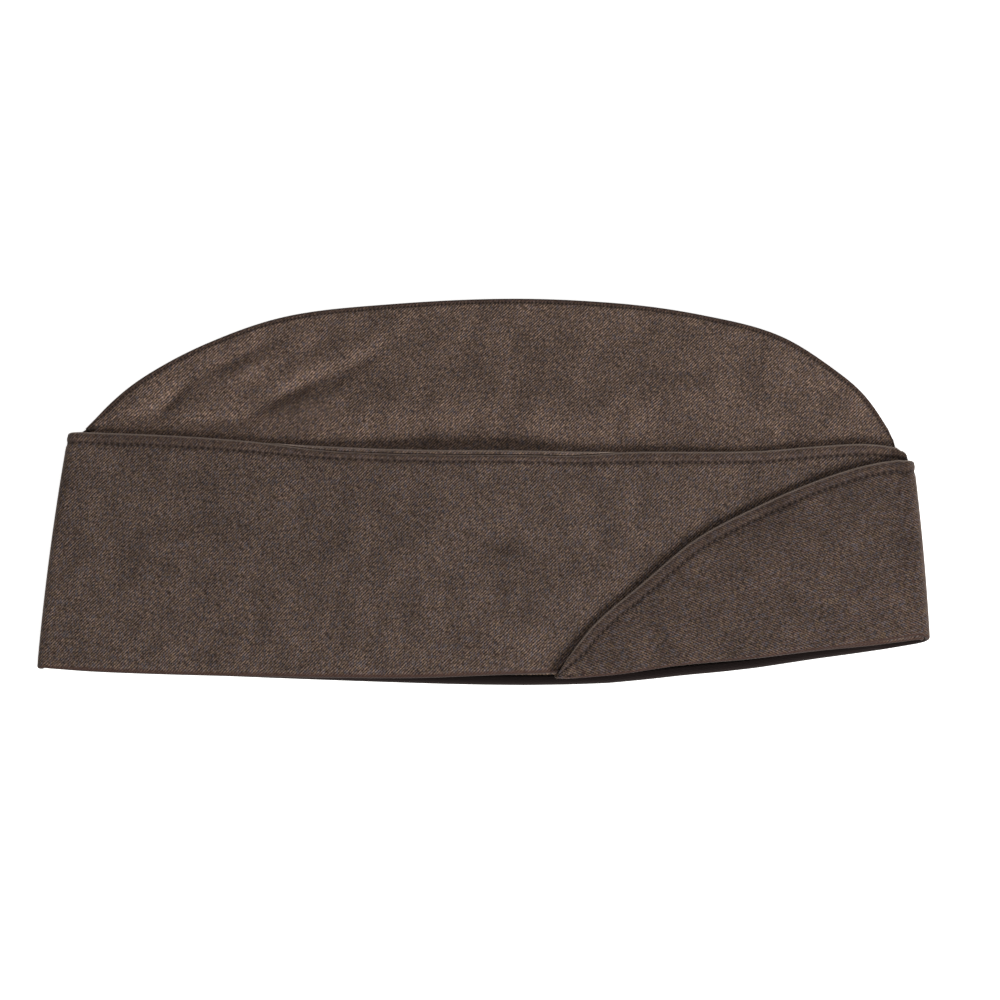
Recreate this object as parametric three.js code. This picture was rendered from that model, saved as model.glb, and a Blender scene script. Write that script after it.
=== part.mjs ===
// A garrison cap of worsted twill, folded flat and lying on its left side.
// The mouth that the head goes into opens towards -Y, the crown's ridge is at +Y and the front is at +X.
// Units are millimetres, +Z is up, and the origin is under the middle of the cap, on what it lies on.
// The cloth pieces lie in a stack. From the surface upwards they are the left curtain, the left crown panel,
// the hollow with the crown's gusset folded into it, the right crown panel, the right curtain, and the end of
// the left curtain, which comes round the front fold and over the right side as the overlap.
import * as THREE from "three";

const { clamp, lerp, smoothstep, degToRad } = THREE.MathUtils;

// Outline, as the folded cap measures on the table
const capLength = 289; // along the mouth, back fold to front fold
const capHeight = 128.3; // lowest point of the mouth to the top of the ridge
const curtainHeight = 75; // the turned-up curtain at mid length, above the mouth's lowest point
const backLean = 6.3; // how far the back fold leans in, from the mouth to the curtain's top edge
const frontLean = 4; // the same for the front fold
const backBow = 1.5; // power of the back fold's curve: 1 would be straight
const overlapReach = 121; // the overlap's length from the front fold to its tip, along the mouth
const mouthSlip = 2; // how far the upper mouth edge lies behind the lower one
const cornerDrop = 2; // how far the right curtain's front corner is rounded down

// Cloth and seams
const crownCloth = 1; // one ply of worsted with its seam allowances pressed flat
const curtainCloth = 1.6; // two plies, stitched through along the top edge
const clearance = 0.35; // between one piece of cloth and the next
const mouthFold = 3; // height of the curtain's turned-in lower edge, which the crown is sewn to
const foldEase = 8; // length over which that turned-in edge thins out before the front fold
const hemEase = 0.35; // how much thinner each face of a hem is at its very edge

// The hollow and the crown's top
const hollowHeight = 8; // the open height inside the cap where it is widest
const gussetDepth = 24; // how far the crease of the top gusset reaches in from the ridge
const gussetInset = 1.2; // the gusset's edges lie this far inside the ridge
const gussetTaper = 0.8; // how bluntly the crease tapers towards its ends: 1 is a plain half wave
const gussetEnd = 0.07; // share of the ridge at each end that the gusset stops short of
const ridgeEase = 0.05; // share of the ridge at each end where the two panels close on each other
const drape = 8; // length over which the left crown panel comes down from the curtain to the table

// Number of steps in each piece: along the cap, round its folds, and up its height
const steps = { crown: 46, under: 30, gusset: 30, run: 44, underRun: 28, overlap: 18, quarter: 4, half: 8 };
const crownRows = { covered: 5, shown: 10, underCovered: 3, underShown: 6 };
const rows = { gusset: 4, turn: 4, curtain: 9, underCurtain: 5 };
// How strongly the steps draw together at a piece's ends, above a curtain's edge, and at the overlap's tip
const crowding = { ends: 0.6, aboveCurtain: 1.3, aboveUnderCurtain: 1.7, overlapTip: 1.25 };

// The ridge. along is a share of capLength from the back, rise a share of capHeight.
const RIDGE = [
  { along: 0.0465, rise: 0.655 },
  { along: 0.0645, rise: 0.708 },
  { along: 0.109, rise: 0.791 },
  { along: 0.178, rise: 0.878 },
  { along: 0.269, rise: 0.952 },
  { along: 0.383, rise: 0.984 },
  { along: 0.528, rise: 1 },
  { along: 0.655, rise: 0.987 },
  { along: 0.746, rise: 0.957 },
  { along: 0.837, rise: 0.901 },
  { along: 0.905, rise: 0.799 },
  { along: 0.939, rise: 0.725 },
  { along: 0.969, rise: 0.613 },
];

// The mouth. along is a share of the way from the back fold to the front fold. lower is the lower mouth edge as
// a share of capHeight. upper and overlap are how far the two upper edges lie behind it, in shares of mouthSlip.
const MOUTH = [
  { along: 0, lower: 0.0426, upper: -0.25, overlap: 0 },
  { along: 0.06, lower: 0.034, upper: -0.3, overlap: 0 },
  { along: 0.18, lower: 0.0245, upper: -0.35, overlap: 0 },
  { along: 0.3, lower: 0.0142, upper: -0.15, overlap: 0 },
  { along: 0.42, lower: 0.005, upper: 0.2, overlap: 0 },
  { along: 0.5, lower: 0.0005, upper: 0.85, overlap: 0 },
  { along: 0.57, lower: 0, upper: 1.2, overlap: 0.05 },
  { along: 0.65, lower: 0.0057, upper: 1.2, overlap: 0.5 },
  { along: 0.72, lower: 0.0225, upper: 1.1, overlap: 0.9 },
  { along: 0.8, lower: 0.0395, upper: 1, overlap: 0.9 },
  { along: 0.88, lower: 0.0656, upper: 0.8, overlap: 0.8 },
  { along: 0.94, lower: 0.0834, upper: 0.6, overlap: 0.9 },
  { along: 1, lower: 0.105, upper: 0.4, overlap: 1 },
];

// The curtain's top edge on the right and left sides. Both heights are shares of curtainHeight.
const CURTAIN_TOP = [
  { along: 0, right: 1.103, left: 1.103 },
  { along: 0.084, right: 1.09, left: 1.09 },
  { along: 0.145, right: 1.076, left: 1.076 },
  { along: 0.205, right: 1.057, left: 1.056 },
  { along: 0.279, right: 1.034, left: 1.035 },
  { along: 0.4, right: 1.008, left: 1.01 },
  { along: 0.514, right: 1, left: 1 },
  { along: 0.676, right: 0.993, left: 0.995 },
  { along: 0.82, right: 1, left: 0.995 },
  { along: 0.894, right: 1.026, left: 0.992 },
  { along: 0.955, right: 1.044, left: 0.985 },
  { along: 1, right: 1.031, left: 0.976 },
];

// The overlap's sweeping edge. along runs from its tip to the front fold, rise is a share of curtainHeight.
const OVERLAP_TOP = [
  { along: 0, rise: 0.012 },
  { along: 0.039, rise: 0.108 },
  { along: 0.083, rise: 0.197 },
  { along: 0.122, rise: 0.264 },
  { along: 0.171, rise: 0.327 },
  { along: 0.254, rise: 0.433 },
  { along: 0.368, rise: 0.584 },
  { along: 0.455, rise: 0.666 },
  { along: 0.571, rise: 0.756 },
  { along: 0.676, rise: 0.83 },
  { along: 0.794, rise: 0.9 },
  { along: 0.911, rise: 0.954 },
  { along: 1, rise: 0.976 },
];

// How open the hollow is along the cap, as a share of hollowHeight.
const HOLLOW = [
  { along: 0, open: 0 },
  { along: 0.04, open: 0.03 },
  { along: 0.12, open: 0.14 },
  { along: 0.2, open: 0.3 },
  { along: 0.3, open: 0.58 },
  { along: 0.4, open: 0.84 },
  { along: 0.5, open: 0.97 },
  { along: 0.6, open: 1 },
  { along: 0.75, open: 0.93 },
  { along: 0.85, open: 0.72 },
  { along: 0.93, open: 0.38 },
  { along: 0.98, open: 0.07 },
  { along: 1, open: 0 },
];

// Soft folds. along and up place each one as shares of capLength and capHeight. reach and width are its half
// length and half width as shares of capLength. turn is its angle in degrees, and rise a share of hollowHeight.
const CROWN_FOLDS = [
  { along: 0.337, up: 0.752, reach: 0.068, width: 0.016, turn: 23, rise: -0.2 }, // sharp crease over the back
  { along: 0.458, up: 0.645, reach: 0.084, width: 0.015, turn: -2, rise: -0.26 }, // trough behind the curtain
  { along: 0.137, up: 0.749, reach: 0.036, width: 0.015, turn: 49, rise: -0.15 },
  { along: 0.273, up: 0.895, reach: 0.075, width: 0.015, turn: 18, rise: -0.1 },
  { along: 0.26, up: 0.834, reach: 0.046, width: 0.015, turn: 21, rise: 0.12 },
  { along: 0.199, up: 0.668, reach: 0.045, width: 0.014, turn: -2, rise: -0.14 },
  { along: 0.72, up: 0.64, reach: 0.19, width: 0.015, turn: 2, rise: -0.1 },
  { along: 0.906, up: 0.697, reach: 0.045, width: 0.026, turn: -50, rise: -0.1 },
];
const SIDE_FOLDS = [
  { along: 0.283, up: 0.426, reach: 0.07, width: 0.05, turn: 20, rise: -0.08 },
  { along: 0.15, up: 0.42, reach: 0.05, width: 0.05, turn: 10, rise: -0.06 },
  { along: 0.563, up: 0.335, reach: 0.075, width: 0.036, turn: -15, rise: -0.07 },
  { along: 0.44, up: 0.4, reach: 0.05, width: 0.045, turn: 60, rise: 0.06 },
  { along: 0.786, up: 0.49, reach: 0.05, width: 0.034, turn: 25, rise: -0.1 },
  { along: 0.55, up: 0.17, reach: 0.07, width: 0.05, turn: 0, rise: 0.06 },
  { along: 0.23, up: 0.25, reach: 0.07, width: 0.05, turn: 0, rise: 0.05 },
];

// Colour, roughness and metalness of the cloth
const worsted = { color: 0x584a42, roughness: 0.92, metalness: 0 };

// The stack of cloth at the folds, from the table upwards
const leftCurtainTop = curtainCloth;
const leftCrownTop = leftCurtainTop + clearance + crownCloth;
const rightCrownTop = leftCrownTop + clearance + crownCloth;
const rightCurtainTop = rightCrownTop + clearance + curtainCloth;
const overlapTop = rightCurtainTop + clearance + curtainCloth;
const backRadius = rightCurtainTop / 2; // outside of the back fold
const frontRadius = overlapTop / 2; // outside of the front fold, which the overlap goes round
const innerFrontRadius = frontRadius - curtainCloth - clearance; // outside of the right curtain's front edge
const foldCloth = curtainCloth + clearance + crownCloth; // thickness of the turned-in lower edge
const gussetStack = 2 * crownCloth + 3 * clearance; // between the two crown panels at the ridge

// A smooth curve through one column of a table.
function curve(table, column) {
  const at = table.map((row) => row.along);
  const value = table.map((row) => row[column]);
  const last = value.length - 1;
  const slope = value.map((_, i) => {
    const before = Math.max(i - 1, 0);
    const after = Math.min(i + 1, last);
    return (value[after] - value[before]) / (at[after] - at[before]);
  });
  return (along) => {
    const t = clamp(along, at[0], at[last]);
    let i = 0;
    while (i < last - 1 && t > at[i + 1]) i += 1;
    const span = at[i + 1] - at[i];
    const s = (t - at[i]) / span;
    const fromStart = (1 + 2 * s) * (1 - s) ** 2 * value[i] + s * (1 - s) ** 2 * span * slope[i];
    const fromEnd = s * s * (3 - 2 * s) * value[i + 1] - s * s * (1 - s) * span * slope[i + 1];
    return fromStart + fromEnd;
  };
}

const ridgeRise = curve(RIDGE, "rise");
const lowerMouth = curve(MOUTH, "lower");
const upperSlip = curve(MOUTH, "upper");
const overlapSlip = curve(MOUTH, "overlap");
const rightTop = curve(CURTAIN_TOP, "right");
const leftTop = curve(CURTAIN_TOP, "left");
const overlapEdge = curve(OVERLAP_TOP, "rise");
const hollowOpen = curve(HOLLOW, "open");

// The fold lines at a height y above the mouth, and the flat stretch between their bends.
const backFold = (y) => -capLength / 2 + backLean * (Math.max(y, 0) / curtainHeight) ** backBow;
const frontFold = (y) => capLength / 2 - (frontLean * y) / curtainHeight;
const runBack = (y) => backFold(y) + backRadius;
const runFront = (y) => frontFold(y) - frontRadius;
const shareAt = (x, y) => clamp((x - runBack(y)) / (runFront(y) - runBack(y)), 0, 1);
const ridgeHeight = (x) => capHeight * ridgeRise(x / capLength + 0.5);

// Sums the soft folds at a point.
function folds(table, x, y) {
  let height = 0;
  for (const fold of table) {
    const dx = x - (fold.along - 0.5) * capLength;
    const dy = y - fold.up * capHeight;
    const angle = degToRad(fold.turn);
    const lengthways = (dx * Math.cos(angle) + dy * Math.sin(angle)) / (fold.reach * capLength);
    const across = (dy * Math.cos(angle) - dx * Math.sin(angle)) / (fold.width * capLength);
    height += fold.rise * hollowHeight * Math.exp(-(lengthways ** 2) - across ** 2);
  }
  return height;
}

// How far up a point is from the curtain's top edge to the ridge, from 0 to 1.
function pastCurtain(x, y) {
  const edge = curtainHeight * rightTop(shareAt(x, y));
  return smoothstep(y, edge, Math.max(ridgeHeight(x), edge + drape));
}

// Underside of the left crown panel: on the left curtain, and past its top edge on the table.
function leftCrownUnder(x, y) {
  const edge = curtainHeight * leftTop(shareAt(x, y)) + clearance;
  return (leftCurtainTop + clearance) * (1 - smoothstep(y, edge, edge + drape));
}

// Underside of the right crown panel without its own creases: the roof of the hollow.
function roof(x, y) {
  const open = hollowOpen(shareAt(x, y));
  const swell = (hollowHeight - clearance) * open;
  const side = leftCrownTop + clearance + swell + folds(SIDE_FOLDS, x, y) * open;
  const fromEnd = Math.min(x / capLength + 0.5 - RIDGE[0].along, RIDGE.at(-1).along - x / capLength - 0.5);
  const closed = smoothstep(fromEnd, 0, ridgeEase);
  const ridge = leftCrownUnder(x, y) + crownCloth + lerp(clearance, gussetStack, closed);
  return lerp(side, ridge, pastCurtain(x, y));
}

// The creases of the right crown panel. Under the curtain only hollows are left, so that the two keep clear.
function crownCreases(x, y) {
  const height = folds(CROWN_FOLDS, x, y) * Math.sqrt(hollowOpen(shareAt(x, y)));
  const shown = smoothstep(y, curtainHeight * rightTop(shareAt(x, y)), ridgeHeight(x));
  const seam = 1 - smoothstep(y, ridgeHeight(x) - gussetDepth, ridgeHeight(x));
  return (height > 0 ? height * shown : height) * seam;
}

// A sheet of cloth as one closed solid: a block of small steps, whose every corner is moved to place(u, v, w).
// u and v are the numbers of the corner's column and row, and w runs from 0 to 1 through the cloth.
function clothSheet(name, columns, rowCount, place) {
  const geometry = new THREE.BoxGeometry(1, 1, 1, columns, rowCount, 1);
  const corners = geometry.getAttribute("position");
  for (let i = 0; i < corners.count; i += 1) {
    const column = Math.round((corners.getX(i) + 0.5) * columns);
    const row = Math.round((corners.getY(i) + 0.5) * rowCount);
    const [x, y, z] = place(column, row, corners.getZ(i) + 0.5);
    corners.setXYZ(i, x, y, z);
  }
  geometry.computeVertexNormals();
  const mesh = new THREE.Mesh(geometry, new THREE.MeshStandardMaterial(worsted));
  mesh.name = name;
  return mesh;
}

// Even shares from 0 to 1, with both ends.
const shares = (count) => Array.from({ length: count + 1 }, (_, i) => i / count);

// Shares from 0 to 1 that lie closer together at both ends.
const eased = (s) => lerp(s, 0.5 - 0.5 * Math.cos(Math.PI * s), crowding.ends);
const easedShares = (count) => shares(count).map(eased);

// Height of the mouth edge and of the turned-in fold's top, on the lower (left) and upper (right) sides.
const leftMouth = (along) => capHeight * lowerMouth(along);
const rightMouth = (along) => leftMouth(along) + mouthSlip * upperSlip(along);
const overlapMouth = (along) => leftMouth(along) + mouthSlip * overlapSlip(along);

// The height of a curtain row. Its first rows make the turned-in lower edge.
const foldRows = [0, 0.3, 0.8, 1].map((share) => (share * mouthFold) / curtainHeight);
const curtainRows = (count) => [...foldRows, ...shares(count).slice(1).map((s) => lerp(foldRows.at(-1), 1, s))];

// How deep a curtain's two faces lie at a row: the turned-in edge, the plain cloth, or the thinner hem's edge.
function curtainDepth(row, lastRow, hasFold) {
  const ease = row === 0 || row === lastRow ? hemEase : 0;
  const turnedIn = row < foldRows.length - 1 ? (foldCloth - curtainCloth) * hasFold : 0;
  return { outer: ease, inner: curtainCloth + turnedIn - ease };
}

// A crown panel hangs between the mouth and the ridge, with a row of its corners along the curtain's top edge.
// under gives its underside, and draw is how strongly the rows above that edge draw closer to it.
function crownPanel(name, columnShares, covered, shown, draw, mouth, curtainTop, under) {
  const place = (column, row, w) => {
    const s = columnShares[column];
    const foot = mouth(s) + mouthFold + clearance;
    const edge = curtainHeight * curtainTop(s);
    const y = lerp(foot, edge, Math.min(row / covered, 1));
    const x = lerp(runBack(y) + clearance, runFront(y) - clearance, s);
    const up = Math.max((row - covered) / shown, 0) ** draw;
    const ridgeX = (lerp(RIDGE[0].along, RIDGE.at(-1).along, s) - 0.5) * capLength;
    const px = lerp(x, ridgeX, up);
    const py = lerp(y, ridgeHeight(ridgeX), up);
    return [px, py, under(px, py) + w * crownCloth];
  };
  return clothSheet(name, columnShares.length - 1, covered + shown, place);
}

function leftCrownPanel() {
  const columns = easedShares(steps.under);
  const { underCovered: covered, underShown: shown } = crownRows;
  const draw = crowding.aboveUnderCurtain;
  return crownPanel("left_crown_panel", columns, covered, shown, draw, leftMouth, leftTop, leftCrownUnder);
}

function rightCrownPanel() {
  const columns = easedShares(steps.crown);
  const { covered, shown } = crownRows;
  const draw = crowding.aboveCurtain;
  const under = (x, y) => roof(x, y) + crownCreases(x, y);
  return crownPanel("right_crown_panel", columns, covered, shown, draw, rightMouth, rightTop, under);
}

// The top gusset: a long narrow piece between the two ridges, creased along its middle and folded inwards.
function topGusset() {
  const columns = easedShares(steps.gusset);
  const plies = shares(rows.gusset);
  const turn = shares(rows.turn).slice(1, -1);
  const halfGap = (crownCloth + clearance) / 2;
  // Each row is a place on the folded section: how far in from the ridge, and the side and slant of its ply.
  const section = [
    ...plies.map((s) => ({ inward: s, angle: -90 })),
    ...turn.map((s) => ({ inward: 1, angle: -90 + 180 * s })),
    ...plies.toReversed().map((s) => ({ inward: s, angle: 90 })),
  ];
  const place = (column, row, w) => {
    const s = lerp(gussetEnd, 1 - gussetEnd, columns[column]);
    const x = (lerp(RIDGE[0].along, RIDGE.at(-1).along, s) - 0.5) * capLength;
    const slope = (ridgeHeight(x + 1) - ridgeHeight(x - 1)) / 2;
    const inwards = new THREE.Vector2(slope, -1).normalize();
    const depth = lerp(2 * gussetInset, gussetDepth, Math.sin(Math.PI * columns[column]) ** gussetTaper);
    const { inward, angle } = section[row];
    const radius = halfGap + (w - 0.5) * crownCloth;
    const reach = gussetInset + inward * (depth - halfGap) + Math.cos(degToRad(angle)) * radius;
    const px = x + inwards.x * reach;
    const py = ridgeHeight(x) + inwards.y * reach;
    const low = leftCrownUnder(px, py) + crownCloth;
    const high = roof(px, py) + crownCreases(px, py);
    return [px, py, (low + high) / 2 + Math.sin(degToRad(angle)) * radius];
  };
  return clothSheet("top_gusset", columns.length - 1, section.length - 1, place);
}

// Outside of the right curtain, over the right crown panel.
const rightCurtainOuter = (x, y) => roof(x, y) + crownCloth + clearance + curtainCloth;

// The right curtain runs from the back seam, round the back fold, along the right side and into the front fold.
// At each station, angle says which way the outer face looks, in degrees from +X: 90 is up and 270 is down.
function rightCurtain() {
  const run = easedShares(steps.run);
  const bend = shares(steps.quarter);
  const stations = [
    ...bend.slice(0, -1).map((s) => ({ along: 0, angle: 180 - 90 * s })),
    ...run.map((s) => ({ along: s, angle: 90 })),
    ...bend.slice(1).map((s) => ({ along: 1, angle: 90 - 90 * s, dropped: s })),
  ];
  const rowShares = curtainRows(rows.curtain);
  const lastRow = rowShares.length - 1;
  const place = (column, row, w) => {
    const { along, angle, dropped = 0 } = stations[column];
    const top = curtainHeight * rightTop(along) - cornerDrop * dropped ** 2;
    const y = lerp(rightMouth(along), top, rowShares[row]);
    const hasFold = 1 - smoothstep(along, 1 - (2 * foldEase) / capLength, 1 - foldEase / capLength);
    const depth = curtainDepth(row, lastRow, hasFold);
    const inwards = lerp(depth.inner, depth.outer, w);
    if (angle === 90) {
      const x = lerp(runBack(y), runFront(y), along);
      return [x, y, rightCurtainOuter(x, y) - inwards];
    }
    const atBack = angle > 90;
    const seam = atBack ? (clearance / 2) * ((angle - 90) / 90) : 0;
    const radius = (atBack ? backRadius : innerFrontRadius) - inwards;
    const centre = atBack ? runBack(y) : runFront(y);
    const height = atBack ? backRadius + seam : frontRadius;
    return [centre + radius * Math.cos(degToRad(angle)), y, height + radius * Math.sin(degToRad(angle))];
  };
  return clothSheet("right_curtain", stations.length - 1, lastRow, place);
}

// The left curtain runs from the back seam, under the cap, round the front fold and back over the right side,
// where the outer face looks up again at 450 degrees.
function leftCurtain() {
  const run = easedShares(steps.underRun);
  const bend = shares(steps.quarter);
  const halfTurn = shares(steps.half);
  const overlap = shares(steps.overlap).toReversed().map((s) => s ** crowding.overlapTip);
  const tip = 1 - overlapReach / capLength;
  const stations = [
    ...bend.slice(0, -1).map((s) => ({ along: 0, angle: 180 + 90 * s })),
    ...run.map((s) => ({ along: s, angle: 270 })),
    ...halfTurn.slice(1, -1).map((s) => ({ along: 1, angle: 270 + 180 * s, turned: s })),
    ...overlap.map((s) => ({ along: lerp(tip, 1, s), angle: 450, turned: 1 })),
  ];
  const rowShares = curtainRows(rows.underCurtain);
  const lastRow = rowShares.length - 1;
  const place = (column, row, w) => {
    const { along, angle, turned = 0 } = stations[column];
    const onTop = angle === 450;
    const top = curtainHeight * (onTop ? overlapEdge((along - tip) / (1 - tip)) : leftTop(along));
    const mouth = lerp(leftMouth(along), overlapMouth(along), turned);
    const y = lerp(mouth, Math.max(top, mouth + clearance), rowShares[row]);
    const ease = smoothstep(along, 1 - (2 * foldEase) / capLength, 1 - foldEase / capLength);
    const depth = curtainDepth(row, lastRow, turned > 0 ? 0 : 1 - ease);
    const inwards = lerp(depth.outer, depth.inner, w);
    if (angle === 270) {
      return [lerp(runBack(y), runFront(y), along), y, inwards];
    }
    if (onTop) {
      const x = lerp(runBack(y), runFront(y), along);
      return [x, y, rightCurtainOuter(x, y) + clearance + curtainCloth - inwards];
    }
    const atBack = angle < 270;
    const seam = atBack ? (clearance / 2) * ((270 - angle) / 90) : 0;
    const radius = (atBack ? backRadius : frontRadius) - inwards;
    const centre = atBack ? runBack(y) : runFront(y);
    const height = atBack ? backRadius - seam : frontRadius;
    return [centre + radius * Math.cos(degToRad(angle)), y, height + radius * Math.sin(degToRad(angle))];
  };
  return clothSheet("left_curtain", stations.length - 1, lastRow, place);
}

const cap = new THREE.Group();
cap.add(leftCurtain(), leftCrownPanel(), topGusset(), rightCrownPanel(), rightCurtain());

// The origin lies under the middle of the cap's box.
const box = new THREE.Box3().setFromObject(cap, true);
const middle = box.getCenter(new THREE.Vector3());
cap.position.set(-middle.x, -middle.y, -box.min.z);

export default cap;
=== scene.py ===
# %% [markdown]
# # A garrison cap, folded flat on a table
# A garrison cap is a soft cloth cap that folds flat. Two crown panels meet at a ridge over a gusset that
# folds inwards, and a curtain of two plies is turned up all round them. This lesson makes it from sheets
# of cloth. The cap's solids come first, as a fixed frame, and every sheet takes its outline and its
# height from them.

# %% Load the solids and note their box
import math
from functools import cache

import bmesh
import bpy
import numpy as np
from mathutils import Matrix, Vector
from mathutils.bvhtree import BVHTree


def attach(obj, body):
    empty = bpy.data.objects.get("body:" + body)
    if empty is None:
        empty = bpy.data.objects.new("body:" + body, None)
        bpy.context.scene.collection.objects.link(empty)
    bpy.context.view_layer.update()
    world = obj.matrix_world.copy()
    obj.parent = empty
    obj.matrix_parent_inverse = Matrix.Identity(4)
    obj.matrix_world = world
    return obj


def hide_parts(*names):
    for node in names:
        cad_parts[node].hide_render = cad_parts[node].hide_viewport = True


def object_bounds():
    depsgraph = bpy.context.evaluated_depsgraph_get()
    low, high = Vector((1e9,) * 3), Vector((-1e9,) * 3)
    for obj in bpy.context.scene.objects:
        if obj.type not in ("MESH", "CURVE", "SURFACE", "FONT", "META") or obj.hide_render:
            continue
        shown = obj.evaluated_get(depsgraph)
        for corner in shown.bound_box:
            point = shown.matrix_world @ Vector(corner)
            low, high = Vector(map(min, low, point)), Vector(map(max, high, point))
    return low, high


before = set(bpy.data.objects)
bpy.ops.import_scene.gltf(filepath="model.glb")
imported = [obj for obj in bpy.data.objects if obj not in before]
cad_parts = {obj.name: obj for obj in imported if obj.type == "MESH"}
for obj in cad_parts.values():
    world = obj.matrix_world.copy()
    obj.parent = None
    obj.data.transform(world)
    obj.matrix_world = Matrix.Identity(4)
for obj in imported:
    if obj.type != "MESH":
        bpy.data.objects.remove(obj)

MM = 0.001
cad_low, cad_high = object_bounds()
print("the cap measures", [round(side / MM, 1) for side in cad_high - cad_low], "mm")

# %% [markdown]
# ## The camera
# The photograph looks almost straight down on the cap, from the side that its mouth is on. A long lens
# keeps the outline as flat as it is there. The camera comes first, so that every later look is through
# it.

# %% Put the camera over the mouth side
CAMERA_ELEVATION = math.radians(79)
CAMERA_LENS = 85
CAMERA_SENSOR = 36
VIEW_WIDTH = 325.5 * MM
VIEW_CENTRE = Vector((5.0, -4.2, 6.0)) * MM

camera_data = bpy.data.cameras.new("camera")
camera_data.lens = CAMERA_LENS
camera_data.sensor_width = CAMERA_SENSOR
camera = bpy.data.objects.new("camera", camera_data)
bpy.context.scene.collection.objects.link(camera)
camera_back = Vector((0, -math.cos(CAMERA_ELEVATION), math.sin(CAMERA_ELEVATION)))
camera.location = VIEW_CENTRE + camera_back * VIEW_WIDTH * CAMERA_LENS / CAMERA_SENSOR
camera.rotation_mode = "QUATERNION"
camera.rotation_quaternion = (-camera_back).to_track_quat("-Z", "Y")
bpy.context.scene.camera = camera
print("the camera is", round(camera.location.length, 3), "m away")

# %% [markdown]
# ## The cloth in the stack
# At its folds the cap is a stack of cloth. The solids were made with these thicknesses, so the folds'
# outer radii follow from adding them up. Each curtain is really two plies, a face and a facing behind it.

# %% Name the thicknesses
CROWN_CLOTH = 1.0 * MM
CURTAIN_CLOTH = 1.6 * MM
CLEARANCE = 0.35 * MM
PLY = 0.68 * MM
PLY_STEP = 0.82 * MM
CROWN_PLY = 0.85 * MM
MOUTH_FOLD = 3.0 * MM

back_radius = (2 * CURTAIN_CLOTH + 2 * CROWN_CLOTH + 3 * CLEARANCE) / 2
front_radius = (3 * CURTAIN_CLOTH + 2 * CROWN_CLOTH + 4 * CLEARANCE) / 2
inner_front_radius = front_radius - CURTAIN_CLOTH - CLEARANCE
overlap_step = CLEARANCE + CURTAIN_CLOTH
lip_depth = CURTAIN_CLOTH + CLEARANCE + CROWN_CLOTH
print("fold radii", round(back_radius / MM, 2), round(front_radius / MM, 2), "mm")

# %% [markdown]
# ## Outlines, measured from the solids
# A sheet has to end where its solid ends. Cutting the solid's edges with a line across it gives the first
# and the last point of the outline there. A row of such cuts, smoothed a little, is a curve that any
# sheet can follow.

# %% Measure an outline
CUT_STEP = 1.5 * MM
FIRST_CUT = 0.01 * MM
SMOOTHING = [0.1, 0.2, 0.4, 0.2, 0.1]


def solid_edges(node, low=-1.0, high=1.0):
    """Both ends of each edge of a solid that lies between two heights."""
    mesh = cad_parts[node].data
    corners = np.array([v.co for v in mesh.vertices])
    ends = corners[np.array([e.vertices for e in mesh.edges])]
    heights = ends[:, :, 2]
    return ends[(heights >= low).all(axis=1) & (heights <= high).all(axis=1)]


def outline(ends, axis):
    """The lowest and the highest reach of a solid at each place along an axis, 0 for x or 1 for y."""
    a, b = ends[:, 0, axis], ends[:, 1, axis]
    across_a, across_b = ends[:, 0, 1 - axis], ends[:, 1, 1 - axis]
    places = np.arange(min(a.min(), b.min()) + FIRST_CUT, max(a.max(), b.max()), CUT_STEP)
    lows, highs = [], []
    for place in places:
        cut = ((a - place) * (b - place) <= 0) & (a != b)
        share = (place - a[cut]) / (b[cut] - a[cut])
        across = across_a[cut] + share * (across_b[cut] - across_a[cut])
        lows.append(across.min())
        highs.append(across.max())

    def smooth(values):
        padded = np.pad(values, 2, mode="reflect", reflect_type="odd")
        return np.convolve(padded, SMOOTHING, mode="valid")

    lows, highs = smooth(np.array(lows)), smooth(np.array(highs))
    return (lambda at: float(np.interp(at, places, lows))), (lambda at: float(np.interp(at, places, highs)))


UNDER_LAYER = 3.0 * MM
OVER_LAYER = 6.5 * MM
overlap_ends = solid_edges("left_curtain", low=OVER_LAYER)
right_mouth, right_top = outline(solid_edges("right_curtain"), 0)
left_mouth, left_top = outline(solid_edges("left_curtain", high=UNDER_LAYER), 0)
overlap_mouth, overlap_edge = outline(overlap_ends, 0)
_, ridge = outline(solid_edges("right_crown_panel"), 0)
overlap_tip = float(overlap_ends[:, :, 0].min())


FOLD_SPAN = (-48 * MM, 6 * MM)
FOLD_CUTS = 30


def fold_line(measured, low, high):
    """A smooth curve through a fold's measured places between two heights, which goes on past them."""
    heights = np.linspace(low, high, FOLD_CUTS)
    a, b, c = (float(value) for value in np.polyfit(heights, [measured(y) for y in heights], 2))
    return lambda y: (a * y + b) * y + c


back_fold = fold_line(outline(solid_edges("right_curtain"), 1)[0], *FOLD_SPAN)
front_fold = fold_line(outline(solid_edges("left_curtain"), 1)[1], *FOLD_SPAN)
print("the ridge is at", round(ridge(0) / MM, 1), "mm")
print("the overlap's tip is at", round(overlap_tip / MM, 1), "mm")

# %% [markdown]
# ## Heights, measured from the solids
# Rays dropped on a solid give its height at every millimetre. The solids are made of flat faces, so the
# heights are blurred a little, which turns the facets into soft cloth. Places past the solid take their
# neighbour's height.

# %% Measure a map of heights
MAP_STEP = 1.0 * MM
MAP_MARGIN = 3.0 * MM
BLUR = [0.06, 0.12, 0.2, 0.24, 0.2, 0.12, 0.06]
BLUR_TIMES = 3
map_x = np.arange(cad_low.x - MAP_MARGIN, cad_high.x + MAP_MARGIN, MAP_STEP)
map_y = np.arange(cad_low.y - MAP_MARGIN, cad_high.y + MAP_MARGIN, MAP_STEP)


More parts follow.
